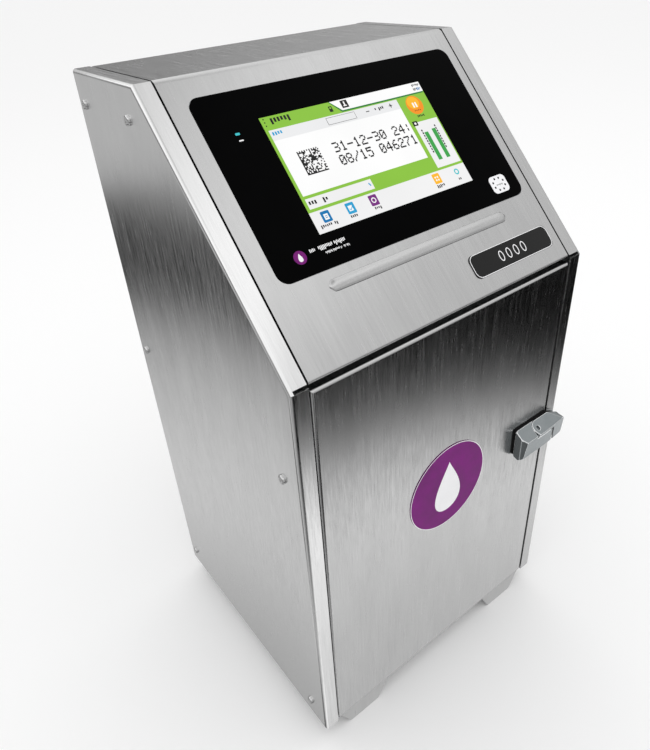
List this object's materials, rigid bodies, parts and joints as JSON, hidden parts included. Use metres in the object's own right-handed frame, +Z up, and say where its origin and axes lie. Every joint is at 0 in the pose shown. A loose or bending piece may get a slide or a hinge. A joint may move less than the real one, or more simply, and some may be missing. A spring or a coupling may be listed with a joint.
{
  "type": "continuous inkjet date coder cabinet",
  "caption": "Slim brushed-steel inkjet coder cabinet with a sloping touch display hood, hinged service door with lever latch, ink system, fan and rear connections.",
  "frame": {"origin": "centre of the four floor bolt holes, on the feet's bottom plane", "axes": "+Z up, -Y towards the door and the operator, +X to the operator's right"},
  "size_m": [0.3062, 0.299, 0.575],
  "materials": {
    "brushed_stainless": "vertical brushed grain, satin",
    "plain_stainless": "mill finish stainless",
    "zinc_sheet": "zinc plated sheet",
    "bright_fasteners": "polished",
    "cast_latch": "polished casting, satin",
    "black_rubber": "matt",
    "bush_polymer": "natural acetal",
    "emblem_purple": "printed film",
    "display_glass": "black-backed cover glass with a lit screen",
    "lcd_module": "metal-backed display",
    "circuit_board": "solder mask with black parts",
    "badge_black": "black label with a white line",
    "tag_white": "white printed label",
    "black_plastic": "fine texture",
    "gland_grey": "nylon",
    "nickel_brass": "nickel plated",
    "grey_metal": "machined",
    "clear_cover": "clear polymer",
    "gear_steel": "machined",
    "valve_blue": "moulded coil",
    "filter_white": "moulded",
    "tank_natural": "natural polyethylene",
    "hose_clear": "black tubing",
    "dock_grey": "moulded",
    "ink_bottle_black": "blow moulded",
    "solvent_bottle_white": "blow moulded"
  },
  "bodies": {
    "cabinet": {"back_hinge_leaf": "plain_stainless", "back_panel": "plain_stainless", "back_screws": "bright_fasteners", "base_pan": "plain_stainless", "cartridge_dock": "dock_grey", "door_pivot_pins": "bright_fasteners", "door_seal": "black_rubber", "fan_frame": "black_plastic", "fan_guard": "bright_fasteners", "feed_hose": "hose_clear", "front_frame": "zinc_sheet", "hinge_arms": "plain_stainless", "hood_hinge_pin": "bright_fasteners", "hood_rails": "zinc_sheet", "hood_seals": "black_rubber", "ink_filter": "filter_white", "ink_tank": "tank_natural", "left_foot": "plain_stainless", "left_side_panel": "brushed_stainless", "main_board": "circuit_board", "manifold_block": "grey_metal", "manifold_bracket": "zinc_sheet", "partition_shelf": "zinc_sheet", "power_inlet": "black_plastic", "power_supply": "zinc_sheet", "pump_cover": "clear_cover", "pump_motor": "grey_metal", "right_foot": "plain_stainless", "right_side_panel": "brushed_stainless", "side_screws": "bright_fasteners", "signal_ports": "nickel_brass", "solenoid_valves": "valve_blue", "switch_frame": "black_plastic", "tank_bracket": "zinc_sheet", "umbilical_gland": "gland_grey"},
    "door": {"door_skin": "brushed_stainless", "door_stiffener": "plain_stainless", "door_lugs": "plain_stainless", "door_bushes": "bush_polymer", "door_emblem": "emblem_purple", "latch_gasket": "black_rubber", "latch_base": "cast_latch", "latch_nuts": "bright_fasteners", "latch_pin": "bright_fasteners"},
    "latch_handle": {"latch_lever": "cast_latch"},
    "hood": {"hood_shell": "brushed_stainless", "hood_hinge_leaf": "plain_stainless", "display_frame": "zinc_sheet", "display_glass": "display_glass", "display_module": "lcd_module", "display_board": "circuit_board", "display_cover": "zinc_sheet", "badge_plate": "badge_black", "scan_tag": "tag_white"},
    "fan": {"fan_rotor": "black_plastic"},
    "pump_drive": {"pump_drive_gear": "gear_steel"},
    "pump_idler": {"pump_idler_gear": "gear_steel"},
    "ink_bottle": {"ink_cartridge": "ink_bottle_black"},
    "solvent_bottle": {"solvent_cartridge": "solvent_bottle_white"},
    "power_switch": {"switch_rocker": "black_plastic"}
  },
  "joints": [
    {"name": "door_hinge", "type": "hinge", "parent": "cabinet", "child": "door", "pos_m": [-0.1278, -0.1285, 0.2], "axis": [0, 0, -1], "range_deg": [0, 110]},
    {"name": "latch_turn", "type": "hinge", "parent": "door", "child": "latch_handle", "pos_m": [0.1125, -0.1405, 0.238], "axis": [0, 0, -1], "range_deg": [0, 65]},
    {"name": "hood_hinge", "type": "hinge", "parent": "cabinet", "child": "hood", "pos_m": [0, 0.1352, 0.553], "axis": [-1, 0, 0], "range_deg": [0, 75]},
    {"name": "fan_spin", "type": "hinge", "parent": "cabinet", "child": "fan", "pos_m": [-0.06, 0.117, 0.43], "axis": [0, 1, 0], "continuous": true},
    {"name": "pump_spin", "type": "hinge", "parent": "cabinet", "child": "pump_drive", "pos_m": [0.04, 0.03, 0.2], "axis": [0, 1, 0], "continuous": true},
    {"name": "idler_spin", "type": "hinge", "parent": "cabinet", "child": "pump_idler", "pos_m": [0.058, 0.03, 0.2], "axis": [0, 1, 0], "continuous": true},
    {"name": "ink_cartridge_lift", "type": "slide", "parent": "cabinet", "child": "ink_bottle", "axis": [0, 0, 1], "range_m": [0, 0.03]},
    {"name": "solvent_cartridge_lift", "type": "slide", "parent": "cabinet", "child": "solvent_bottle", "axis": [0, 0, 1], "range_m": [0, 0.03]},
    {"name": "switch_rock", "type": "hinge", "parent": "cabinet", "child": "power_switch", "pos_m": [0.035, 0.128, 0.375], "axis": [-1, 0, 0], "range_deg": [0, 24]}
  ],
  "couplings": [
    {"joint": "idler_spin", "follows": "pump_spin", "ratio": -1}
  ]
}
